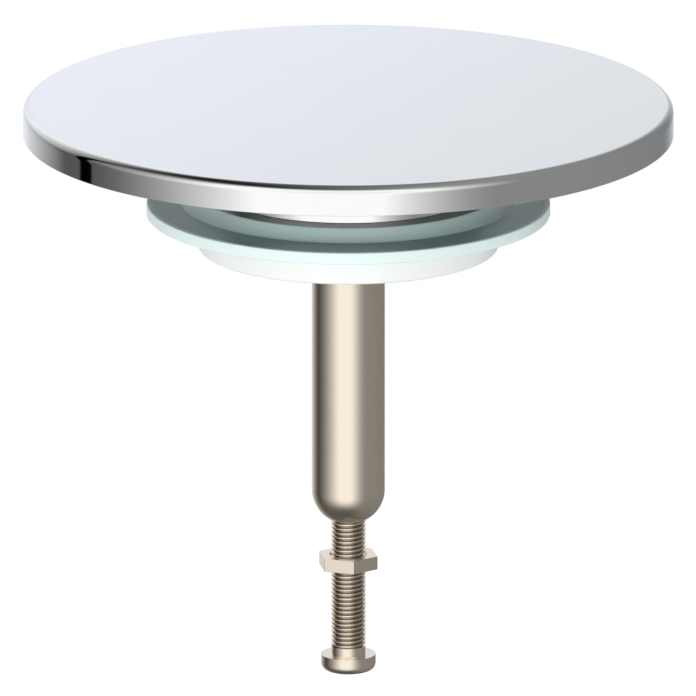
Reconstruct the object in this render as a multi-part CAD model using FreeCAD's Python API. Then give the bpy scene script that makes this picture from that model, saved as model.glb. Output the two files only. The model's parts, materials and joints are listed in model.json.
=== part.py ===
import FreeCAD, Part
import math
import os

# A bath-waste drain stopper. A chromed cover cap on a backing disc, a hub, a sealing ring and a
# retainer disc are stacked on one hidden stud, which a stem clamps from below. An adjusting screw
# with a lock nut runs in the stem's lower end.
# Sizes are in millimetres. +Z is up. The origin is on the axis, where the stem meets the retainer disc.

# Cover cap, drawn from sheet, and the backing disc pressed into it
cover_diameter = 72.0
cover_height = 3.35
cap_wall = 0.6
cap_inside_round = 0.4
backing_thickness = 2.4
backing_chamfer = 0.4
cap_fit = 0.03

# Hub between the backing disc and the sealing ring
hub_diameter = 30.0
hub_height = 6.71
hub_edge_round = 0.2
spigot_diameter = 16.0
spigot_length = 2.0

# Sealing ring: a wide flange under a short conical neck
seal_height = 2.79
flange_diameter = 44.7
flange_thickness = 1.34
flange_rise = 0.14
flange_edge_round = 0.15
neck_base_diameter = 37.0
neck_top_diameter = 34.2
register_depth = 0.3
seal_fit = 0.1

# Retainer disc that clamps the sealing ring
retainer_diameter = 33.2
retainer_thickness = 4.1
retainer_edge_round = 0.25

# Stud whose six-sided head is caught under the cap
stud_diameter = 4.9
stud_pitch = 0.8
stud_thread_depth = 0.45
stud_engagement = 9.0
stud_thread_above_stem = 2.0
stud_head_flats = 10.0
stud_head_height = 1.4
stud_head_sink = 0.1
stud_head_fit = 0.05
stud_hole_clearance = 0.2
stud_tip_chamfer = 0.5

# Stem
stem_diameter = 8.1
stem_length = 31.7
stem_end_round = 3.83
stem_mouth_chamfer = 0.3

# Adjusting screw
screw_diameter = 3.85
screw_pitch = 0.5
screw_thread_depth = 0.33
screw_thread_below_stem = 14.1
screw_engagement = 10.0
screw_travel_in = 6.0
screw_tip_chamfer = 0.4
collar_diameter = 3.8
collar_length = 0.95
screw_head_diameter = 6.1
screw_head_height = 1.85
screw_head_round = 0.85
slot_width = 1.0
slot_depth = 0.8

# Lock nut
nut_flats = 6.0
nut_thickness = 1.5
nut_below_stem = 3.59
nut_countersink = 0.1
nut_turn_degrees = 39.85

# Fits and cutting allowances
thread_clearance = 0.05
bore_end_room = 0.5
overrun = 1.0
drill_tip_share = 0.6
thread_root_share = 0.12
thread_crest_start_share = 0.5
thread_crest_end_share = 0.62
full_turn_degrees = 360

# Heights of the faces where the stacked pieces meet
stem_top = 0.0
stem_bottom = stem_top - stem_length
retainer_top = stem_top + retainer_thickness
seal_bottom = retainer_top - register_depth
seal_top = seal_bottom + seal_height
flange_top = seal_bottom + flange_thickness
hub_top = seal_top + hub_height
backing_top = hub_top + backing_thickness
cover_top = backing_top + cap_wall
cover_bottom = cover_top - cover_height
stud_head_top = backing_top - stud_head_sink
stud_head_bottom = stud_head_top - stud_head_height
stud_bottom = stem_top - stud_engagement
screw_top = stem_bottom + screw_engagement
collar_top = stem_bottom - screw_thread_below_stem
head_top = collar_top - collar_length
head_bottom = head_top - screw_head_height
nut_top = stem_bottom - nut_below_stem
nut_bottom = nut_top - nut_thickness

# Radii that several pieces share
cover_radius = cover_diameter / 2
cap_inside_radius = cover_radius - cap_wall
hub_radius = hub_diameter / 2
spigot_radius = spigot_diameter / 2
retainer_radius = retainer_diameter / 2
stud_radius = stud_diameter / 2
stud_hole_radius = stud_radius + stud_hole_clearance
stem_radius = stem_diameter / 2
screw_radius = screw_diameter / 2
screw_bore_radius = screw_radius + thread_clearance

Vector = FreeCAD.Vector
origin = Vector(0, 0, 0)
up = Vector(0, 0, 1)


def rounded_corner(before, corner, after, radius):
    """Start, middle and end of the arc that rounds one corner of an outline."""
    to_before = (before - corner).normalize()
    to_after = (after - corner).normalize()
    half_angle = to_before.getAngle(to_after) / 2
    reach = radius / math.tan(half_angle)
    inward = (to_before + to_after).normalize()
    to_middle = radius / math.sin(half_angle) - radius
    return corner + to_before * reach, corner + inward * to_middle, corner + to_after * reach


def turned(outline):
    """Turn a closed outline about Z. Each point is (radius, height) or (radius, height, corner round)."""
    corners = [Vector(point[0], 0, point[1]) for point in outline]
    rounds = [point[2] if len(point) > 2 else 0 for point in outline]
    last = len(outline) - 1
    arcs = []
    for i, corner in enumerate(corners):
        after = corners[0] if i == last else corners[i + 1]
        if rounds[i] > 0:
            arcs.append(rounded_corner(corners[i - 1], corner, after, rounds[i]))
        else:
            arcs.append((corner, corner, corner))
    edges = []
    for i, (start, middle, end) in enumerate(arcs):
        edges.append(Part.LineSegment(arcs[i - 1][2], start).toShape())
        if rounds[i] > 0:
            edges.append(Part.Arc(start, middle, end).toShape())
    solid = Part.Face(Part.Wire(edges)).revolve(origin, up, full_turn_degrees)
    if solid.Volume < 0:
        solid.reverse()
    return solid


def hexagon_prism(across_flats, bottom, height, turn_degrees):
    """Six-sided prism on the Z axis."""
    corner_radius = across_flats / math.sqrt(3)
    corners = []
    for i in range(7):
        angle = math.radians(turn_degrees + i * full_turn_degrees / 6)
        corners.append(Vector(corner_radius * math.cos(angle), corner_radius * math.sin(angle), bottom))
    return Part.Face(Part.makePolygon(corners)).extrude(up * height)


def drill(radius, mouth, depth, direction, chamfer):
    """Drilled hole with a chamfered mouth and a conical tip, as a solid to cut with."""
    tip = depth + radius * drill_tip_share
    wide = radius + chamfer + overrun
    return turned([
        (0, mouth - direction * overrun),
        (wide, mouth - direction * overrun),
        (radius, mouth + direction * chamfer),
        (radius, mouth + direction * depth),
        (0, mouth + direction * tip),
    ])


def helix_turn(radius, pitch, height):
    """One right-hand turn of a helix."""
    turn = Part.makeHelix(pitch, pitch, radius)
    turn.translate(up * height)
    return turn.Edges[0]


def helical_rod(crest_radius, depth, pitch, bottom, turns):
    """Rod with a right-hand thread, sewn from helical strips, ending in one turn of a helical ramp."""
    root_radius = crest_radius - depth
    profile = [
        (root_radius, 0),
        (root_radius, thread_root_share),
        (crest_radius, thread_crest_start_share),
        (crest_radius, thread_crest_end_share),
        (root_radius, 1),
    ]
    faces = []
    for turn in range(turns):
        strips = [helix_turn(radius, pitch, bottom + (turn + share) * pitch) for radius, share in profile]
        for lower, upper in zip(strips, strips[1:]):
            faces.append(Part.makeRuledSurface(lower, upper))
    for turn in (0, turns):
        low = bottom + turn * pitch
        axis = Part.LineSegment(up * low, up * (low + pitch)).toShape()
        faces.append(Part.makeRuledSurface(axis, helix_turn(root_radius, pitch, low)))
        section = [up * low]
        for radius, share in profile:
            section.append(Vector(radius, 0, low + share * pitch))
        section.append(up * (low + pitch))
        section.append(section[0])
        faces.append(Part.Face(Part.makePolygon(section)))
    shell = Part.makeShell(faces)
    shell.sewShape()
    rod = Part.Solid(shell)
    if rod.Volume < 0:
        rod.reverse()
    return rod


def threaded(crest_radius, depth, pitch, bottom, top, trim):
    """Threaded rod cut to its trim outline, between two heights."""
    turns = math.ceil((top - bottom) / pitch) + 3
    rod = helical_rod(crest_radius, depth, pitch, bottom - 2 * pitch, turns)
    return rod.common(trim).Solids[0]


def cover_cap():
    outside_round = cap_inside_round + cap_wall
    return turned([
        (0, cover_top),
        (cover_radius, cover_top, outside_round),
        (cover_radius, cover_bottom),
        (cap_inside_radius, cover_bottom),
        (cap_inside_radius, backing_top, cap_inside_round),
        (0, backing_top),
    ])


def backing_disc():
    radius = cap_inside_radius - cap_fit
    disc = turned([
        (stud_hole_radius, hub_top),
        (radius, hub_top),
        (radius, backing_top - backing_chamfer),
        (radius - backing_chamfer, backing_top),
        (stud_hole_radius, backing_top),
    ])
    pocket_flats = stud_head_flats + 2 * stud_head_fit
    pocket_height = backing_top - stud_head_bottom + overrun
    return disc.cut(hexagon_prism(pocket_flats, stud_head_bottom, pocket_height, 0)).Solids[0]


def clamp_stud():
    thread_top = stem_top + stud_thread_above_stem
    wide = stud_radius + overrun
    trim = turned([
        (0, stud_bottom),
        (stud_radius - stud_tip_chamfer, stud_bottom),
        (wide, stud_bottom + stud_tip_chamfer + overrun),
        (wide, thread_top),
        (0, thread_top),
    ])
    thread = threaded(stud_radius, stud_thread_depth, stud_pitch, stud_bottom, thread_top, trim)
    shank = Part.makeCylinder(stud_radius, stud_head_bottom - thread_top, up * thread_top)
    head = hexagon_prism(stud_head_flats, stud_head_bottom, stud_head_height, 0)
    return thread.fuse([shank, head]).Solids[0]


def hub():
    spigot_bottom = seal_top - spigot_length
    return turned([
        (stud_hole_radius, spigot_bottom),
        (spigot_radius, spigot_bottom),
        (spigot_radius, seal_top),
        (hub_radius, seal_top, hub_edge_round),
        (hub_radius, hub_top),
        (stud_hole_radius, hub_top),
    ])


def seal_ring():
    bore_radius = spigot_radius + seal_fit
    register_radius = retainer_radius + seal_fit
    flange_radius = flange_diameter / 2
    return turned([
        (bore_radius, retainer_top),
        (register_radius, retainer_top),
        (register_radius, seal_bottom),
        (flange_radius, seal_bottom, flange_edge_round),
        (flange_radius, flange_top, flange_edge_round),
        (neck_base_diameter / 2, flange_top + flange_rise),
        (neck_top_diameter / 2, seal_top),
        (bore_radius, seal_top),
    ])


def retainer_disc():
    return turned([
        (stud_hole_radius, stem_top),
        (retainer_radius, stem_top, retainer_edge_round),
        (retainer_radius, retainer_top),
        (stud_hole_radius, retainer_top),
    ])


def stem():
    rod = turned([
        (0, stem_top),
        (stem_radius, stem_top),
        (stem_radius, stem_bottom, stem_end_round),
        (0, stem_bottom),
    ])
    stud_bore = stud_radius + thread_clearance
    stud_hole = drill(stud_bore, stem_top, stud_engagement + bore_end_room, -1, stem_mouth_chamfer)
    screw_depth = screw_engagement + screw_travel_in + bore_end_room
    screw_hole = drill(screw_bore_radius, stem_bottom, screw_depth, 1, 0)
    return rod.cut([stud_hole, screw_hole]).Solids[0]


def adjusting_screw():
    wide = screw_radius + overrun
    trim = turned([
        (0, collar_top),
        (wide, collar_top),
        (wide, screw_top - screw_tip_chamfer - overrun),
        (screw_radius - screw_tip_chamfer, screw_top),
        (0, screw_top),
    ])
    thread = threaded(screw_radius, screw_thread_depth, screw_pitch, collar_top, screw_top, trim)
    head_radius = screw_head_diameter / 2
    head = turned([
        (0, collar_top),
        (collar_diameter / 2, collar_top),
        (collar_diameter / 2, head_top),
        (head_radius, head_top),
        (head_radius, head_bottom, screw_head_round),
        (0, head_bottom),
    ])
    slot_corner = Vector(-head_radius - overrun, -slot_width / 2, head_bottom - overrun)
    slot_length = 2 * (head_radius + overrun)
    slot = Part.makeBox(slot_length, slot_width, slot_depth + overrun, slot_corner)
    return thread.fuse(head.cut(slot)).Solids[0]


def lock_nut():
    nut = hexagon_prism(nut_flats, nut_bottom, nut_thickness, nut_turn_degrees)
    through = nut_thickness + overrun
    from_below = drill(screw_bore_radius, nut_bottom, through, 1, nut_countersink)
    from_above = drill(screw_bore_radius, nut_top, through, -1, nut_countersink)
    return nut.cut([from_below, from_above]).Solids[0]


pieces = {
    "cover_cap": cover_cap(),
    "backing_disc": backing_disc(),
    "clamp_stud": clamp_stud(),
    "hub": hub(),
    "seal_ring": seal_ring(),
    "retainer_disc": retainer_disc(),
    "stem": stem(),
    "adjusting_screw": adjusting_screw(),
    "lock_nut": lock_nut(),
}

os.makedirs("parts", exist_ok=True)
for name, shape in pieces.items():
    shape.exportStep("parts/" + name + ".step")
    box = shape.BoundBox
    print(name, shape.ShapeType, shape.isValid(), round(shape.Volume, 1), round(box.ZMin, 2), round(box.ZMax, 2))
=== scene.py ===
# %% [markdown]
# # A drain stopper for a bath
#
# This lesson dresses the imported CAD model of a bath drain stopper: a chromed cover on a hub, a pale
# soft sealing ring, a white retainer disc, a nickel stem, and a fine screw with a thin lock nut that
# sets the height. The CAD model is a fixed frame. It says where each piece is and how large, and
# nothing here moves or resizes it. We build finer meshes in the same places, give every one of them
# its finish, and light them as a product is lit in a studio.

# %% Load the frame
import json
import math

import bmesh
import bpy
from mathutils import Matrix, Vector


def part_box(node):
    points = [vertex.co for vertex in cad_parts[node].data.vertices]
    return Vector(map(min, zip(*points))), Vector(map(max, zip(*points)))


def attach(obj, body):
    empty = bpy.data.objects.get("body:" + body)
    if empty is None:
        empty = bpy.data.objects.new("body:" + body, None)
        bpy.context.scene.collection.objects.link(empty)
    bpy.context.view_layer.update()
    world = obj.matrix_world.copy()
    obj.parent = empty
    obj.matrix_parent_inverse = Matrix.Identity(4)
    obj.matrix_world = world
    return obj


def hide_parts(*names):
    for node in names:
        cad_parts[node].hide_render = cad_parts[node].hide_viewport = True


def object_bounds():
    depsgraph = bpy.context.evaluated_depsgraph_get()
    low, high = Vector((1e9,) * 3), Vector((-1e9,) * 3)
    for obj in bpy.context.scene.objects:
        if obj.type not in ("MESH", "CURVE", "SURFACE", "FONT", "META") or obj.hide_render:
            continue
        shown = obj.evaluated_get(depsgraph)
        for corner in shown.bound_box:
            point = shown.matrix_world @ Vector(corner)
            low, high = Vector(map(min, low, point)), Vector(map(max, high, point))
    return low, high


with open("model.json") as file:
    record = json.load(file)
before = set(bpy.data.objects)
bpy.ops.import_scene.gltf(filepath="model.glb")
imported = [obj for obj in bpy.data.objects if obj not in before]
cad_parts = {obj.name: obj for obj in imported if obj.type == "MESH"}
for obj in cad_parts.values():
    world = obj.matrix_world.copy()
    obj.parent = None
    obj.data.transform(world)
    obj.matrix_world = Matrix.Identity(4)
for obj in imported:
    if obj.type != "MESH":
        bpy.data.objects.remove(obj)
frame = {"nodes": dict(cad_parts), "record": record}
cad_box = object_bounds()
scene = bpy.context.scene
scene.view_settings.view_transform = "Standard"
print("CAD box from", tuple(cad_box[0]), "to", tuple(cad_box[1]))

# %% [markdown]
# The frame is in metres and drawings of small hardware are in millimetres, so sizes are written in
# millimetres here and multiplied by MM at the last moment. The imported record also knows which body
# carries a node and which finish it has, so we look both up instead of writing them a second time.

# %% Look up sizes, bodies and finishes
MM = 0.001
FULL_TURN = 2 * math.pi

record = frame["record"]
slot_of = {part["node"]: part["material_slot"] for part in record["subparts"]}
body_of = {}
for body_name, node_names in record["behaviour"]["bodies"].items():
    for node_name in node_names:
        body_of[node_name] = body_name


def extent(node):
    """Bottom, top and outer radius of a turned CAD node, in millimetres."""
    low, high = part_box(node)
    return low.z / MM, high.z / MM, high.x / MM


print(len(slot_of), "nodes on the bodies", sorted(set(body_of.values())))

# %% [markdown]
# The picture looks down on the stopper by about fifteen degrees and shows no perspective: the stem is
# as wide at its foot as at its top. An orthographic camera would do that, but a very long lens far away
# looks the same and still frames the stopper well when it is moved round for other views.

# %% Camera
camera_elevation = math.radians(15.03)
camera_distance = 3536.5 * MM
camera_aim = Vector((-0.044, 0, -11.652)) * MM

camera_data = bpy.data.cameras.new("studio_camera")
camera_data.sensor_width = 36
camera_data.lens = 1650
camera_data.clip_start = 0.1 * camera_distance
camera_data.clip_end = 2 * camera_distance
camera = bpy.data.objects.new("studio_camera", camera_data)
towards_camera = Vector((0, -math.cos(camera_elevation), math.sin(camera_elevation)))
camera.location = camera_aim + towards_camera * camera_distance
camera.rotation_euler = (math.pi / 2 - camera_elevation, 0, 0)
scene.collection.objects.link(camera)
scene.camera = camera
print("camera at", tuple(round(value, 3) for value in camera.location))

# %% [markdown]
# Every finish and the light itself are made of shader nodes. Nodes written one by one are hard to
# read, so one small class wraps an output: arithmetic on it adds Math nodes, and its node method adds
# any other node. Then a formula in the script looks like the formula that it is.


# %% A small language for shader nodes
class Wire:
    """An output of a shader node. Arithmetic on it adds Math nodes to the same tree."""

    def __init__(self, tree, socket=None):
        self.tree = tree
        self.socket = socket

    def node(self, kind, settings=None, inputs=None, output=0):
        """Add a node, set it up, feed its inputs with values or wires, and return one of its outputs."""
        made = self.tree.nodes.new(kind)
        for name, value in (settings or {}).items():
            setattr(made, name, value)
        for name, value in (inputs or {}).items():
            if isinstance(value, Wire):
                self.tree.links.new(value.socket, made.inputs[name])
            else:
                made.inputs[name].default_value = value
        return Wire(self.tree, made.outputs[output] if made.outputs else None)

    def math(self, operation, *values):
        """Math node on numbers and wires."""
        return self.node("ShaderNodeMath", {"operation": operation}, dict(enumerate(values)))

    def __add__(self, other):
        return self.math("ADD", self, other)

    def __radd__(self, other):
        return self.math("ADD", other, self)

    def __sub__(self, other):
        return self.math("SUBTRACT", self, other)

    def __rsub__(self, other):
        return self.math("SUBTRACT", other, self)

    def __mul__(self, other):
        return self.math("MULTIPLY", self, other)

    def __rmul__(self, other):
        return self.math("MULTIPLY", other, self)

    def __pow__(self, other):
        return self.math("POWER", self, other)

    def __abs__(self):
        return self.math("ABSOLUTE", self)

    def ramp(self, start, end, shape="LINEAR"):
        """Go from 0 at start to 1 at end, and stay there."""
        inputs = {"Value": self, "From Min": start, "From Max": end}
        return self.node("ShaderNodeMapRange", {"interpolation_type": shape}, inputs)

    def mix(self, colour, other_colour):
        """Blend two colours, with this wire as the factor."""
        return self.node("ShaderNodeMix", {"data_type": "RGBA"}, {0: self, 6: colour, 7: other_colour}, 2)


def grey(level):
    """Colour without a hue, from 0 for black to 1 for white."""
    return (level, level, level, 1)


print("shader language ready")

# %% [markdown]
# The room is plain white, for the camera, for reflections and for light alike, so the background needs
# no trick at all.

# %% White room
world = bpy.data.worlds.new("white_room")
scene.world = world
world.use_nodes = True
world.node_tree.nodes.clear()
room = Wire(world.node_tree)
white_walls = room.node("ShaderNodeBackground", inputs={"Color": grey(1), "Strength": 1})
room.node("ShaderNodeOutputWorld", inputs={"Surface": white_walls})
print("the room is white all round")

# %% [markdown]
# Polished metal has almost no look of its own: it shows what stands around it, and in a bare white room
# it would look like paper. So a photographer hangs cloth round it, which lets more or less of the white
# through: clear in front and behind, grey at the sides, dark above and below, and a narrow black flag on
# the left that draws the dark line in the chrome. The clear gaps are wider above the stopper than below
# it. Here the cloth is one big sphere. Its material is transparent, and a formula of the direction says
# how much it lets through. The camera looks through it as if it weren't there.
#
# In the formula, a ramp goes from its first number to its second. For bearing and height these are
# degrees, and for the directions to the right, the back and the top they go from -1 to 1.


# %% Stage pieces
def stage_piece(name, mesh_edit, material, hidden_from):
    """Piece of the studio that isn't part of the stopper, left out of some kinds of rays."""
    mesh = bpy.data.meshes.new(name)
    mesh_edit.to_mesh(mesh)
    mesh_edit.free()
    mesh.materials.append(material)
    piece = bpy.data.objects.new(name, mesh)
    scene.collection.objects.link(piece)
    for kind_of_ray in hidden_from:
        setattr(piece, "visible_" + kind_of_ray, False)
    print(name, "is part of the stage")


def open_material(name):
    """New empty material, and a wire that carries Object coordinates."""
    material = bpy.data.materials.new(name)
    material.use_nodes = True
    material.node_tree.nodes.clear()
    return material, Wire(material.node_tree).node("ShaderNodeTexCoord", output="Object")


def parts_of(place):
    """The three coordinates of a place, each as a wire."""
    return [place.node("ShaderNodeSeparateXYZ", inputs={"Vector": place}, output=axis) for axis in "XYZ"]


print("stage ready")

# %% Directions in the tent
DEGREES = 180 / math.pi
tent_cloth, on_tent = open_material("grey_cloth")
looking = on_tent.node("ShaderNodeVectorMath", {"operation": "NORMALIZE"}, {0: on_tent})
to_right, to_back, to_top = parts_of(looking)
bearing = looking.math("ARCTAN2", to_right, 0 - to_back) * DEGREES
height = looking.math("ARCSINE", to_top) * DEGREES
print("bearing 0 is the camera's side, and positive bearings are to its right")

# %% What the walls of the tent let through
widest_spread = 14
front_level = 1.1
left_level = 0.09
right_gain = 0.15
far_right_loss = 0.025
back_left_level = 0.86
back_right_level = 0.75
flag_bearing = -106.7

spread = widest_spread * height.ramp(-6, 12, "SMOOTHSTEP")
front_gap = (bearing + spread).ramp(-105, -25) ** 1.8 * (bearing - spread).ramp(54.5, 5) ** 1.65
side_cloth = left_level + right_gain * bearing.ramp(-20, 50) - far_right_loss * bearing.ramp(90, 145)
back_left = back_left_level * (bearing - spread).ramp(-120, -170)
back_right = back_right_level * bearing.ramp(149, 181) ** 1.5
black_flag = abs(bearing - flag_bearing).ramp(4.2, 2.8, "SMOOTHSTEP")
walls = (side_cloth + front_level * front_gap + back_left + back_right) * (1 - black_flag)
print("the walls' formula has", len(tent_cloth.node_tree.nodes), "nodes")

# %% What the whole tent lets through
ceiling_level = 0.015
ceiling_right_gain = 0.235
ground_level = 0.09
ground_right_gain = 0.1
back_loss = 0.16
upper_front_loss = 0.14

wall_share = height.ramp(64, 26, "SMOOTHSTEP") * height.ramp(-60, -12, "SMOOTHSTEP")
ceiling = ceiling_level + ceiling_right_gain * to_right.ramp(-0.3, 0.3)
ground = ground_level + ground_right_gain * to_right.ramp(0.1, 0.5)
beyond = ground + (ceiling - ground) * to_top.ramp(-0.1, 0.1)
upper_front = height.ramp(2, 12, "SMOOTHSTEP") * to_back.ramp(-0.8, -0.97)
most = 1 - back_loss * to_back.ramp(0.8, 0.97) - upper_front_loss * upper_front
let_through = looking.math("MINIMUM", walls * wall_share + beyond * (1 - wall_share), most)
print("the whole formula has", len(tent_cloth.node_tree.nodes), "nodes")

# %% [markdown]
# Behind the stopper the cloth is a little cool, which gives the cover its faint lavender.

# %% Tent
tent_radius = 3000
neutral = (1, 1, 0.99, 1)
cool = (0.93, 0.96, 1.0, 1)
tint = to_back.ramp(0.6, 0.97).mix(neutral, cool)
dimmed = tint.node("ShaderNodeVectorMath", {"operation": "SCALE"}, {0: tint, "Scale": let_through})
cloth = tint.node("ShaderNodeBsdfTransparent", inputs={"Color": dimmed})
tint.node("ShaderNodeOutputMaterial", inputs={"Surface": cloth})
sphere = bmesh.new()
bmesh.ops.create_icosphere(sphere, subdivisions=4, radius=tent_radius * MM)
stage_piece("light_tent", sphere, tent_cloth, ["camera"])

# %% [markdown]
# A flat mirror under a far camera shows one single direction of the tent, and would be one flat tone. A
# real backdrop stands close behind the object, so its own soft gradient shows on the cover. This card
# does the same. Only reflections see it, and it fades out towards its edges.

# %% Backdrop card
card_distance = 250
card_height = 84
card_width = 260
card_reach = 55
fade_half_width = 36
fade_bottom = 73
fade_top = 93
across_share = 0.65
lit_silk = (0.87, 0.885, 0.965, 1)
shaded_silk = (0.715, 0.75, 0.77, 1)

silk, on_card = open_material("graded_silk")
across, _, upwards = parts_of(on_card)
fall_across = across.ramp(-fade_half_width * MM, fade_half_width * MM)
fall_upwards = upwards.ramp(fade_bottom * MM, fade_top * MM)
fall = across_share * fall_across + (1 - across_share) * fall_upwards
glow = fall.node("ShaderNodeEmission", inputs={"Color": fall.mix(lit_silk, shaded_silk), "Strength": 1})
open_air = fall.node("ShaderNodeBsdfTransparent")
off_centre = abs(upwards - card_height * MM)
inside = abs(across).ramp(2 * card_reach * MM, card_reach * MM, "SMOOTHSTEP")
inside = inside * off_centre.ramp(card_reach * MM, card_reach / 2 * MM, "SMOOTHSTEP")
faded = fall.node("ShaderNodeMixShader", inputs={0: inside, 1: open_air, 2: glow})
fall.node("ShaderNodeOutputMaterial", inputs={"Surface": faded})

card = bmesh.new()
bmesh.ops.create_grid(card, x_segments=1, y_segments=1, size=card_width / 2 * MM)
bmesh.ops.rotate(card, verts=card.verts, matrix=Matrix.Rotation(math.pi / 2, 3, "X"))
bmesh.ops.translate(card, vec=Vector((0, card_distance, card_height)) * MM, verts=card.verts)
stage_piece("backdrop_card", card, silk, ["camera", "diffuse", "transmission", "shadow"])

# %% [markdown]
# Rubber and plastic need more light from the front than the metal's reflections need, because they
# spread it in all directions. Soft area lamps give it. They are hidden from reflections, so the metal
# goes on showing only the room and its cloth.


# %% Soft lamps
def soft_lamp(name, place, size, power):
    """Square lamp, at a place in millimetres, that faces the stopper's axis."""
    data = bpy.data.lights.new(name, "AREA")
    data.size = size * MM
    data.energy = power
    lamp = bpy.data.objects.new(name, data)
    lamp.location = Vector(place) * MM
    lamp.rotation_euler = (-lamp.location).to_track_quat("-Z", "Y").to_euler()
    lamp.visible_glossy = False
    scene.collection.objects.link(lamp)
    return lamp


side_lamp_size = 360
top_lamp_size = 500
lamps = [
    soft_lamp("front_lamp", (-125, -860, -235), side_lamp_size, 4.0),
    soft_lamp("level_lamp", (-60, -900, 0), side_lamp_size, 1.5),
    soft_lamp("left_lamp", (-755, 435, -235), side_lamp_size, 4.3),
    soft_lamp("right_lamp", (815, 295, -235), side_lamp_size, 4.1),
    soft_lamp("top_lamp", (0, 0, 900), top_lamp_size, 1.2),
]
print("lamps:", [lamp.name for lamp in lamps])

# %% [markdown]
# The stopper is held by its stem, as in its waste fitting, so it hangs above a plain pale floor. The
# floor is a disc that keeps the soft shadow. A little glow of its own, which only the camera sees, lifts
# it to white, and it can be seen through from below, so that the underside can be looked at.

# %% Floor
floor_drop = 90
floor_radius = 400
floor_fill = 0.7
paper_white = 0.9
floor_height = cad_box[0].z - floor_drop * MM

paper, on_floor = open_material("pale_paper")
matt = on_floor.node("ShaderNodeBsdfDiffuse", inputs={"Color": grey(paper_white)})
lift = on_floor.node("ShaderNodeEmission", inputs={"Color": grey(1), "Strength": floor_fill})
lit = on_floor.node("ShaderNodeAddShader", inputs={0: matt, 1: lift})
from_below = on_floor.node("ShaderNodeNewGeometry", output="Backfacing")
clear = on_floor.node("ShaderNodeBsdfTransparent")
seen = on_floor.node("ShaderNodeMixShader", inputs={0: from_below, 1: lit, 2: clear})
on_floor.node("ShaderNodeOutputMaterial", inputs={"Surface": seen})

disc = bmesh.new()
bmesh.ops.create_circle(disc, cap_ends=True, segments=96, radius=floor_radius * MM)
bmesh.ops.translate(disc, vec=(0, 0, floor_height), verts=disc.verts)
stage_piece("floor", disc, paper, ["glossy", "diffuse", "transmission"])

# %% [markdown]
# Each finish is a procedural material in the object's own coordinates. They all end in the same way, in
# a Principled shader with a little relief, so one helper opens a material and another one closes it.
# Values that are the same all over go straight into the shader's sockets.

# %% Open and close a finish
finishes = {}


def open_finish(name):
    """New finish, kept under its name. Returns a wire that carries Object coordinates."""
    finishes[name], place = open_material(name)
    return place


def noise(place, size, detail=2.0):
    """Soft cloudy pattern, from 0 to 1, with spots of a size in millimetres."""
    inputs = {"Vector": place, "Scale": 1 / (size * MM), "Detail": detail}
    return place.node("ShaderNodeTexNoise", inputs=inputs)


def fine_rings(along, spacing):
    """Uneven tool marks along one coordinate, about a spacing in millimetres apart."""
    inputs = {"W": along, "Scale": 1 / (spacing * MM), "Detail": 3.0}
    return along.node("ShaderNodeTexNoise", {"noise_dimensions": "1D"}, inputs)


def close_finish(place, relief, relief_depth, **sockets):
    """Principled shader with a bump of a depth in millimetres. Sockets are named in Python's way."""
    inputs = {}
    for name, value in sockets.items():
        inputs[name.replace("_", " ").title().replace("Ior", "IOR")] = value
    bump_inputs = {"Height": relief, "Distance": relief_depth * MM, "Strength": 1.0}
    inputs["Normal"] = place.node("ShaderNodeBump", inputs=bump_inputs)
    shader = place.node("ShaderNodeBsdfPrincipled", inputs=inputs)
    place.node("ShaderNodeOutputMaterial", inputs={"Surface": shader})


print("finishes wanted:", sorted(set(slot_of.values())))

# %% [markdown]
# Chrome plate on polished brass is a mirror with a cool cast. What tells it from a perfect mirror is a
# faint haze left by the polishing wheel and a trace of orange peel from the plating bath, so roughness
# and relief vary a very little.

# %% Chrome plate
place = open_finish("chrome_plate")
haze = noise(place, size=9.0, detail=3.0)
peel = noise(place, size=1.4)
chrome_colour = haze.mix((0.94, 0.95, 0.955, 1), (0.965, 0.975, 0.975, 1))
close_finish(
    place,
    relief=peel,
    relief_depth=0.0002,
    base_color=chrome_colour,
    metallic=1.0,
    roughness=0.03 + 0.03 * haze,
)
print("chrome_plate ready")

# %% [markdown]
# The stem, screw and nut are nickel-plated and left satin: warm, and blurred by a fine tumbled grain
# with the last traces of the turning tool. Threads and the nut's hole get a version of their own with
# painted shade: the grooves of the thread and the bore of the nut are painted dark, where shade falls,
# and the crests keep the plain nickel colour. The distance from the axis tells groove from crest, so no
# map has to be painted.


# %% Satin nickel
def distance_from_axis(place):
    """How far a place is from the stopper's axis."""
    along_x, along_y, _ = parts_of(place)
    return (along_x ** 2 + along_y ** 2) ** 0.5


def satin_nickel(name, painted_shade_radius=0.0, unshaded_radius=0.0, painted_shade_from=-1000.0):
    """Nickel plate. Inside a radius and above a height, all in millimetres, painted shade makes it dark."""
    place = open_finish(name)
    upwards = parts_of(place)[2]
    marks = fine_rings(upwards, spacing=0.22)
    grain = noise(place, size=0.12, detail=3.0)
    cloud = noise(place, size=4.0)
    colour = cloud.mix((0.96, 0.852, 0.725, 1), (0.995, 0.887, 0.757, 1))
    if unshaded_radius:
        # Painted shade: the colour darkens towards the axis and stands in for the shade in grooves and
        # holes.
        painted_shade_fade = 0.02
        lowest_painted_shade = (painted_shade_from - painted_shade_fade) * MM
        full_painted_shade = (painted_shade_from + painted_shade_fade) * MM
        painted_shade = distance_from_axis(place).ramp(unshaded_radius * MM, painted_shade_radius * MM)
        painted_shade = painted_shade * upwards.ramp(lowest_painted_shade, full_painted_shade)
        colour = painted_shade.mix(colour, (0.36, 0.31, 0.27, 1))
    close_finish(
        place,
        relief=0.6 * marks + 0.4 * grain,
        relief_depth=0.002,
        base_color=colour,
        metallic=1.0,
        roughness=0.2 + 0.06 * grain + 0.03 * cloud,
    )
    print(name, "ready")


satin_nickel("satin_nickel")
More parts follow.
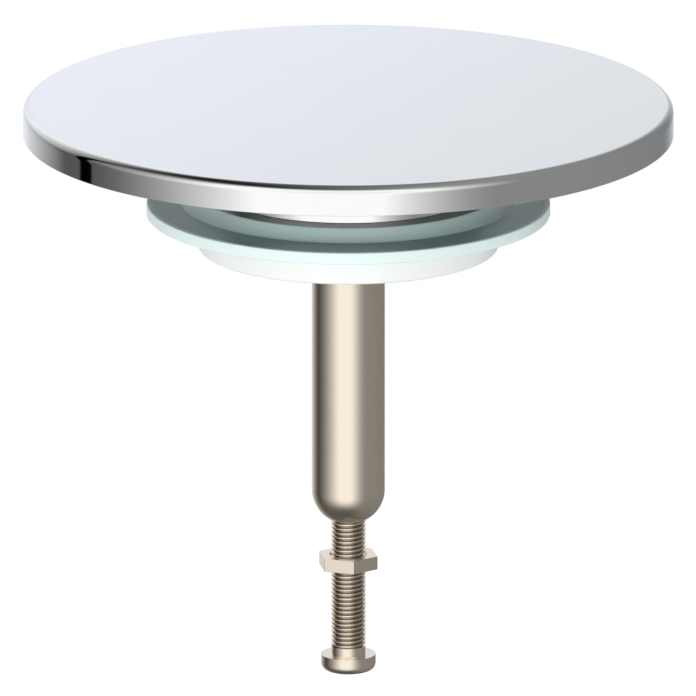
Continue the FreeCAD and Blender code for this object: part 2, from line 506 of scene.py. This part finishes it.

# %% [markdown]
# The sealing ring is a translucent pale aqua silicone. Light goes a millimetre into it and comes out
# again, which subsurface scattering gives. Its skin is satin, and at a low angle the flange mirrors the
# neck in front and the bright room at both ends. Light and shade are also painted into its colour: a
# painted highlight makes the thin outer edge pale, painted shade makes the top of the flange outside the
# neck deeper and darker, and painted shade makes the crevice under the hub dark. The underside keeps the
# plain pale colour. The distance from the axis and the height say which of them a point belongs to.

# %% Seal rubber
seal_bottom, seal_top, flange_radius = extent("seal_ring")
neck_base_radius = 18.5
neck_top_radius = 17.1
neck_foot_fade = 0.05
tone_fade = 0.2
flange_edge = 0.65
flange_edge_fade = 0.05
underside_height = 0.4
topside_height = 1.0
# Painted highlight: the thin outer edge of the flange is painted paler than the silicone.
painted_highlight_edge_colour = (0.82, 0.99, 0.97, 1)
# Painted shade: the crevice under the hub is painted nearly black.
crevice_painted_shade_colour = (0.12, 0.16, 0.15, 1)

place = open_finish("seal_rubber")
mottle = noise(place, size=3.0, detail=3.0)
skin = noise(place, size=0.15)
from_axis = distance_from_axis(place)
upwards = parts_of(place)[2]
shade_past_neck = from_axis.ramp((neck_base_radius - neck_foot_fade) * MM, (neck_base_radius + tone_fade) * MM)
shade_on_top = upwards.ramp((seal_bottom + underside_height) * MM, (seal_bottom + topside_height) * MM)
highlight_at_edge = from_axis.ramp((flange_radius - flange_edge) * MM, (flange_radius - flange_edge_fade) * MM)
shade_in_crevice = from_axis.ramp(neck_top_radius * MM, (neck_top_radius - tone_fade) * MM)

seal_colour = mottle.mix((0.73, 0.97, 0.945, 1), (0.78, 0.995, 0.97, 1))
# Painted shade: the top of the flange outside the neck is painted a deeper, darker aqua.
painted_shade_top_colour = mottle.mix((0.23, 0.41, 0.39, 1), (0.26, 0.43, 0.41, 1))
# These three mixes paint shade on the flange's top, a highlight at its outer edge and shade in the crevice.
seal_colour = (shade_past_neck * shade_on_top).mix(seal_colour, painted_shade_top_colour)
seal_colour = highlight_at_edge.mix(seal_colour, painted_highlight_edge_colour)
seal_colour = shade_in_crevice.mix(seal_colour, crevice_painted_shade_colour)
close_finish(
    place,
    relief=skin,
    relief_depth=0.003,
    base_color=seal_colour,
    roughness=0.3 + 0.1 * skin,
    specular_ior_level=0.42,
    subsurface_weight=0.2,
    subsurface_radius=(0.8, 1.0, 1.0),
    subsurface_scale=0.6 * MM,
)
print("seal_rubber ready")

# %% [markdown]
# The retainer is moulded in white acetal: slightly waxy, with the fine sparkle texture of its mould.

# %% White plastic
place = open_finish("white_plastic")
texture = noise(place, size=0.2, detail=3.0)
shade = noise(place, size=6.0)
plastic_colour = shade.mix((0.90, 0.92, 0.905, 1), (0.93, 0.945, 0.93, 1))
close_finish(
    place,
    relief=texture,
    relief_depth=0.004,
    base_color=plastic_colour,
    roughness=0.36 + 0.12 * texture,
    subsurface_weight=0.15,
    subsurface_radius=(1.0, 1.0, 1.0),
    subsurface_scale=0.6 * MM,
)
print("white_plastic ready")

# %% [markdown]
# The backing disc and the stud are only seen from below or with the stopper apart. They are zinc plate on
# steel that has gone dull: a dark cool grey with faint crystal spots and the rings of the facing cut.

# %% Zinc-plated steel
ring_spacing = 0.35
crystal_size = 1.5

place = open_finish("zinc_plated_steel")
rings = fine_rings(distance_from_axis(place), ring_spacing)
crystal_inputs = {"Vector": place, "Scale": 1 / (crystal_size * MM)}
crystal = place.node("ShaderNodeTexVoronoi", inputs=crystal_inputs, output="Color")
spot = place.node("ShaderNodeSeparateColor", inputs={"Color": crystal})
zinc_colour = spot.mix((0.22, 0.23, 0.24, 1), (0.29, 0.30, 0.31, 1))
close_finish(
    place,
    relief=rings,
    relief_depth=0.004,
    base_color=zinc_colour,
    metallic=1.0,
    roughness=0.3 + 0.08 * spot,
)
print("zinc_plated_steel ready")

# %% [markdown]
# Nearly all of the stopper is turned on a lathe, and the script does the same: it draws half of the
# section beside the axis, rounds the corners that are round on the real piece, and spins it. Rounding
# the flat section with a vertex bevel costs one call a radius. A Bevel modifier on the finished solid
# could do it too, but it rounds all edges alike.
#
# Smooth shading bends the reflection near each rounded corner. Two more points close to the ends of every
# straight run hold the flat faces flat, which matters a lot on chrome.

# %% Draw and spin a section
HOLD = 0.06
HOLD_FROM = 0.35
SAME_PLACE = 1e-7


def drawn_section(corners, arc_steps=10):
    """Flat face in the XZ plane. A corner is (radius, height) or (radius, height, round), in millimetres."""
    section = bmesh.new()
    rounded = {}
    points = []
    for corner in corners:
        point = section.verts.new((corner[0] * MM, 0, corner[1] * MM))
        points.append(point)
        if len(corner) > 2:
            rounded.setdefault(corner[2], []).append(point)
    section.faces.new(points)
    for radius, verts in rounded.items():
        bmesh.ops.bevel(
            section,
            geom=verts,
            offset=radius * MM,
            offset_type="OFFSET",
            segments=arc_steps,
            profile=0.5,
            affect="VERTICES",
            material=-1,
        )
    return section


def spun(section, steps=192):
    """Closed solid from a section spun once round the Z axis."""
    bmesh.ops.delete(section, geom=section.faces[:], context="FACES_ONLY")
    on_axis = [edge for edge in section.edges if all(abs(vert.co.x) < SAME_PLACE for vert in edge.verts)]
    bmesh.ops.delete(section, geom=on_axis, context="EDGES")
    for edge in section.edges[:]:
        length = edge.calc_length() / MM
        if length > HOLD_FROM:
            start = edge.verts[0]
            _, near = bmesh.utils.edge_split(edge, start, HOLD / length)
            far = next(e for e in near.link_edges if e.other_vert(near) is not start)
            bmesh.utils.edge_split(far, near, 1 - HOLD / (length - HOLD))
    bmesh.ops.spin(
        section,
        geom=section.verts[:] + section.edges[:],
        cent=(0, 0, 0),
        axis=(0, 0, 1),
        angle=FULL_TURN,
        steps=steps,
        use_merge=True,
    )
    bmesh.ops.remove_doubles(section, verts=section.verts, dist=SAME_PLACE)
    bmesh.ops.recalc_face_normals(section, faces=section.faces)
    return section


def turned(corners, steps=192):
    """Closed solid turned from the corners of half its section."""
    return spun(drawn_section(corners), steps)


print("lathe ready")

# %% [markdown]
# A finished mesh becomes a piece in the same way each time: it gets smooth shading with crisp edges, the
# finish of its node, and the body that carries it. It then stands for the CAD node, which is hidden but
# stays in the motion model. Product pictures keep mirrors calm: most pieces show the studio and not
# their neighbours, so a piece is left out of mirror reflections unless it is said to be mirrored.


# %% Turn a mesh into a piece
def piece_from(name, mesh_edit, node, finish=None, crisp_angle=32, mirrored=False):
    """Piece that stands for a CAD node and moves with its body. Edges past an angle in degrees are crisp."""
    mesh = bpy.data.meshes.new(name)
    mesh_edit.to_mesh(mesh)
    mesh_edit.free()
    mesh.shade_smooth()
    mesh.set_sharp_from_angle(angle=math.radians(crisp_angle))
    mesh.materials.append(finishes[finish or slot_of[node]])
    piece = bpy.data.objects.new(name, mesh)
    piece.visible_glossy = mirrored
    scene.collection.objects.link(piece)
    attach(piece, body_of[node])
    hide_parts(node)
    print(name, len(mesh.vertices), "points for", node)


print("assembly bench ready")

# %% [markdown]
# The cover is a shallow cap drawn from brass sheet: a flat top, a rounded shoulder and a short straight
# skirt. It is hollow, because a steel disc is pressed in from below. The lower edge of the skirt is
# trimmed and lightly broken on both sides.

# %% Cover
cover_bottom, cover_top, cover_radius = extent("cover_cap")
cap_wall = 0.6
shoulder_round = 1.0
skirt_edge_round = 0.03

piece_from(
    "chromed_cover",
    turned(
        [
            (0, cover_top),
            (cover_radius, cover_top, shoulder_round),
            (cover_radius, cover_bottom, skirt_edge_round),
            (cover_radius - cap_wall, cover_bottom, skirt_edge_round),
            (cover_radius - cap_wall, cover_top - cap_wall, shoulder_round - cap_wall),
            (0, cover_top - cap_wall),
        ],
        steps=256,
    ),
    "cover_cap",
)

# %% [markdown]
# The hub is turned from brass bar and chromed like the cover. Its spigot centres the sealing ring. A
# straight wall would mirror the seal in front of it and look dark. So this mesh is a tenth of a
# millimetre slimmer above its foot: too little to see, but the slight slope mirrors the white room.

# %% Hub
spigot_bottom, hub_top, hub_radius = extent("hub")
stud_hole_radius = 2.65
spigot_radius = 8.0
hub_edge_round = 0.05
hub_flare = 0.12
hub_foot_height = 0.8

piece_from(
    "chromed_hub",
    turned(
        [
            (stud_hole_radius, spigot_bottom),
            (spigot_radius, spigot_bottom, hub_edge_round),
            (spigot_radius, seal_top),
            (hub_radius, seal_top, hub_edge_round),
            (hub_radius - hub_flare, seal_top + hub_foot_height),
            (hub_radius - hub_flare, hub_top),
            (stud_hole_radius, hub_top),
        ]
    ),
    "hub",
    mirrored=True,
)

# %% [markdown]
# The retainer disc lies under the sealing ring and reaches a little way up into it.

# %% Retainer disc
retainer_bottom, retainer_top, retainer_radius = extent("retainer_disc")
retainer_round = 0.25

piece_from(
    "white_retainer",
    turned(
        [
            (stud_hole_radius, retainer_bottom),
            (retainer_radius, retainer_bottom, retainer_round),
            (retainer_radius, retainer_top),
            (stud_hole_radius, retainer_top),
        ]
    ),
    "retainer_disc",
)

# %% [markdown]
# The sealing ring has a thin wide flange that comes down on the drain's seat, and a short conical neck
# under the hub. All its edges are softly rounded, as moulded silicone is. Its satin flange mirrors the
# neck, so the ring is one of the mirrored pieces.

# %% Sealing ring
seal_clearance = 0.1
seal_bore = spigot_radius + seal_clearance
register_radius = retainer_radius + seal_clearance
flange_thickness = 1.34
flange_rise = 0.14
flange_round = 0.15
neck_round = 0.1
flange_top = seal_bottom + flange_thickness

piece_from(
    "soft_seal",
    turned(
        [
            (seal_bore, retainer_top),
            (register_radius, retainer_top),
            (register_radius, seal_bottom, neck_round),
            (flange_radius, seal_bottom, flange_round),
            (flange_radius, flange_top, flange_round),
            (neck_base_radius, flange_top + flange_rise, neck_round),
            (neck_top_radius, seal_top, neck_round),
            (seal_bore, seal_top),
        ]
    ),
    "seal_ring",
    mirrored=True,
)

# %% [markdown]
# Holes, pockets and slots are cut out of turned pieces with a Boolean, just as the workshop drills and
# mills them afterwards. The modifier is applied at once, so each piece ends up as one plain closed mesh.


# %% Cut and join solids
def combined(solid, tool, operation):
    """Difference or union of two closed meshes, as one new mesh."""
    pair = []
    for name, mesh_edit in (("solid", solid), ("tool", tool)):
        mesh = bpy.data.meshes.new(name)
        mesh_edit.to_mesh(mesh)
        mesh_edit.free()
        pair.append(bpy.data.objects.new(name, mesh))
        scene.collection.objects.link(pair[-1])
    boolean = pair[0].modifiers.new("cut", "BOOLEAN")
    boolean.operation = operation
    boolean.solver = "EXACT"
    boolean.object = pair[1]
    result = bmesh.new()
    result.from_object(pair[0], bpy.context.evaluated_depsgraph_get())
    for used in pair:
        bpy.data.meshes.remove(used.data)
    return result


def drill(radius, mouth, depth, direction, chamfer):
    """Drill with a conical tip that also breaks the edge of the hole's mouth."""
    outside = 1.0
    tip_share = 0.6
    tip = depth + tip_share * radius
    return turned(
        [
            (0, mouth - direction * outside),
            (radius + chamfer + outside, mouth - direction * outside),
            (radius, mouth + direction * chamfer),
            (radius, mouth + direction * depth),
            (0, mouth + direction * tip),
        ],
        steps=96,
    )


def hexagon(across_flats, bottom, top, turn):
    """Closed six-sided bar with a corner at an angle in degrees from +X. The cone starts at +Y."""
    bar = bmesh.new()
    turned_by = Matrix.Rotation(math.radians(turn - 90), 4, "Z")
    corner_radius = across_flats / math.sqrt(3) * MM
    bmesh.ops.create_cone(
        bar,
        cap_ends=True,
        segments=6,
        radius1=corner_radius,
        radius2=corner_radius,
        depth=(top - bottom) * MM,
        matrix=Matrix.Translation((0, 0, (top + bottom) / 2 * MM)) @ turned_by,
    )
    return bar


print("cutters ready")

# %% [markdown]
# The backing disc stiffens the cover and gives it weight. The stud's six-sided head sits in a pocket in
# its upper face.

# %% Backing disc
backing_bottom, backing_top, backing_radius = extent("backing_disc")
backing_chamfer = 0.4
pocket_flats = 10.1
pocket_depth = 1.5

disc_blank = turned(
    [
        (stud_hole_radius, backing_bottom),
        (backing_radius, backing_bottom, skirt_edge_round),
        (backing_radius, backing_top - backing_chamfer),
        (backing_radius - backing_chamfer, backing_top),
        (stud_hole_radius, backing_top),
    ],
    steps=256,
)
pocket = hexagon(pocket_flats, backing_top - pocket_depth, backing_top + pocket_depth, 0)
piece_from("steel_backing", combined(disc_blank, pocket, "DIFFERENCE"), "backing_disc")

# %% [markdown]
# The stem is a plain rod with an almost hemispherical foot. It is drilled from above for the stud and
# from below for the adjusting screw.

# %% Stem
_, stem_top, stem_radius = extent("stem")
stem_length = 31.7
foot_round = 3.83
stud_bore_radius = 2.5
stud_bore_depth = 9.5
screw_bore_radius = 1.975
screw_bore_depth = 16.5
mouth_chamfer = 0.3
stem_foot = stem_top - stem_length

stem_section = drawn_section(
    [
        (0, stem_top),
        (stem_radius, stem_top),
        (stem_radius, stem_foot, foot_round),
        (0, stem_foot),
    ],
    arc_steps=32,
)
stem_rod = spun(stem_section)
stud_drill = drill(stud_bore_radius, stem_top, stud_bore_depth, -1, mouth_chamfer)
screw_drill = drill(screw_bore_radius, stem_foot, screw_bore_depth, 1, 0)
stem_rod = combined(stem_rod, stud_drill, "DIFFERENCE")
piece_from("nickel_stem", combined(stem_rod, screw_drill, "DIFFERENCE"), "stem")

# %% [markdown]
# A screw thread is one small profile wound round a rod. Spin can climb while it turns, so one pitch of
# the profile, spun many times round with a little lift at each step, makes the whole thread. The turns
# are then merged, and both ends are cut square and closed. A texture could only fake this, and the
# crests show against the white background.

# %% Threaded rod
TURN_STEPS = 48
SPARE_TURNS = 2
THREAD_SEAM = 1e-6


def threaded_rod(crest_radius, depth, pitch, bottom, top):
    """Closed rod with a right-hand thread between two heights, in millimetres."""
    root = crest_radius - depth
    root_end_share = 0.38
    crest_start_share = 0.57
    crest_end_share = 0.81
    rod = bmesh.new()
    profile = [
        (root, 0),
        (root, root_end_share),
        (crest_radius, crest_start_share),
        (crest_radius, crest_end_share),
        (root, 1),
    ]
    first = bottom - SPARE_TURNS * pitch
    points = [rod.verts.new((r * MM, 0, (first + share * pitch) * MM)) for r, share in profile]
    for lower, upper in zip(points, points[1:]):
        rod.edges.new((lower, upper))
    turns = math.ceil((top - bottom) / pitch) + 2 * SPARE_TURNS
    bmesh.ops.spin(
        rod,
        geom=rod.verts[:] + rod.edges[:],
        cent=(0, 0, 0),
        axis=(0, 0, 1),
        dvec=(0, 0, pitch * MM / TURN_STEPS),
        angle=turns * FULL_TURN,
        steps=turns * TURN_STEPS,
    )
    bmesh.ops.remove_doubles(rod, verts=rod.verts, dist=THREAD_SEAM)
    for end, outwards in ((top, 1), (bottom, -1)):
        cut = bmesh.ops.bisect_plane(
            rod,
            geom=rod.verts[:] + rod.edges[:] + rod.faces[:],
            plane_co=(0, 0, end * MM),
            plane_no=(0, 0, outwards),
            clear_outer=True,
        )
        rim = [item for item in cut["geom_cut"] if isinstance(item, bmesh.types.BMEdge)]
        bmesh.ops.edgeloop_fill(rod, edges=rim)
    bmesh.ops.recalc_face_normals(rod, faces=rod.faces)
    return rod


print("thread cutter ready")

# %% [markdown]
# The adjusting screw has a short plain collar and a flat round head under its thread. The lever of the
# drain pushes on the head, and its slot takes a screwdriver. Thread and collar are one mesh and the head
# another, because the bright faces of head and nut mirror the thread and collar that stand on them, and
# not the other way round.

# %% Adjusting screw
head_bottom, screw_top, head_radius = extent("adjusting_screw")
screw_radius = 1.925
screw_pitch = 0.5
thread_depth = 0.33
collar_radius = 1.9
collar_length = 0.95
head_height = 1.85
head_round = 0.85
relief_height = 0.055
collar_sink = 0.3
core_inset = 0.02
painted_shade_depth = 0.12
painted_shade_overlap = 0.03
head_top = head_bottom + head_height
collar_top = head_top + collar_length
root_radius = screw_radius - thread_depth
core_radius = root_radius - core_inset

thread = threaded_rod(screw_radius, thread_depth, screw_pitch, collar_top + relief_height, screw_top)
collar = turned(
    [
        (0, collar_top + screw_pitch),
        (core_radius, collar_top + screw_pitch),
        (core_radius, collar_top),
        (collar_radius, collar_top),
        (collar_radius, head_top - collar_sink),
        (0, head_top - collar_sink),
    ],
    steps=96,
)
# The thread's grooves get painted shade. They are dark near the root, and the crests keep plain nickel.
satin_nickel("thread_with_painted_shade", root_radius, root_radius + painted_shade_depth, collar_top - painted_shade_overlap)
piece_from(
    "adjusting_thread",
    combined(thread, collar, "UNION"),
    "adjusting_screw",
    "thread_with_painted_shade",
    mirrored=True,
)

# %% Screw head
slot_width = 1.0
slot_depth = 0.8
slot_reach = 4 * head_radius

head_blank = turned(
    [
        (0, head_top),
        (head_radius, head_top),
        (head_radius, head_bottom, head_round),
        (0, head_bottom),
    ],
    steps=96,
)
slot_cutter = bmesh.new()
bmesh.ops.create_cube(slot_cutter, size=1)
slot_size = Vector((slot_reach, slot_width, 2 * slot_depth)) * MM
bmesh.ops.scale(slot_cutter, vec=slot_size, verts=slot_cutter.verts)
bmesh.ops.translate(slot_cutter, vec=(0, 0, head_bottom * MM), verts=slot_cutter.verts)
piece_from("slotted_head", combined(head_blank, slot_cutter, "DIFFERENCE"), "adjusting_screw")

# %% [markdown]
# The lock nut is a thin six-sided nut that is turned against the stem's foot once the height is set. It is
# sawn from bar, so its corners are sharp, and the hole's mouths are only just broken.

# %% Lock nut
nut_low, nut_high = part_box("lock_nut")
nut_bottom = nut_low.z / MM
nut_top = nut_high.z / MM
nut_flats = 6.0
nut_turn = 39.85
nut_countersink = 0.15
nut_edge = 0.04
drill_overrun = 1.0
nut_through = nut_top - nut_bottom + drill_overrun

nut_blank = hexagon(nut_flats, nut_bottom, nut_top, nut_turn)
bmesh.ops.bevel(
    nut_blank,
    geom=nut_blank.edges[:],
    offset=nut_edge * MM,
    offset_type="OFFSET",
    segments=2,
    profile=0.5,
    affect="EDGES",
    material=-1,
)
drill_up = drill(screw_bore_radius, nut_bottom, nut_through, 1, nut_countersink)
drill_down = drill(screw_bore_radius, nut_top, nut_through, -1, nut_countersink)
nut_solid = combined(nut_blank, drill_up, "DIFFERENCE")
nut_solid = combined(nut_solid, drill_down, "DIFFERENCE")
# The nut's bore and countersink get painted shade: they are painted dark.
satin_nickel("bore_with_painted_shade", screw_bore_radius, screw_bore_radius + nut_countersink)
piece_from("thin_lock_nut", nut_solid, "lock_nut", "bore_with_painted_shade", crisp_angle=12)

# %% [markdown]
# The stud is sealed inside. Its CAD node has the right shape already, so it stays and only gets its
# finish.

# %% Stud
stud = frame["nodes"]["clamp_stud"]
stud.data.materials.clear()
stud.data.materials.append(finishes[slot_of["clamp_stud"]])
print("clamp_stud keeps its CAD mesh")
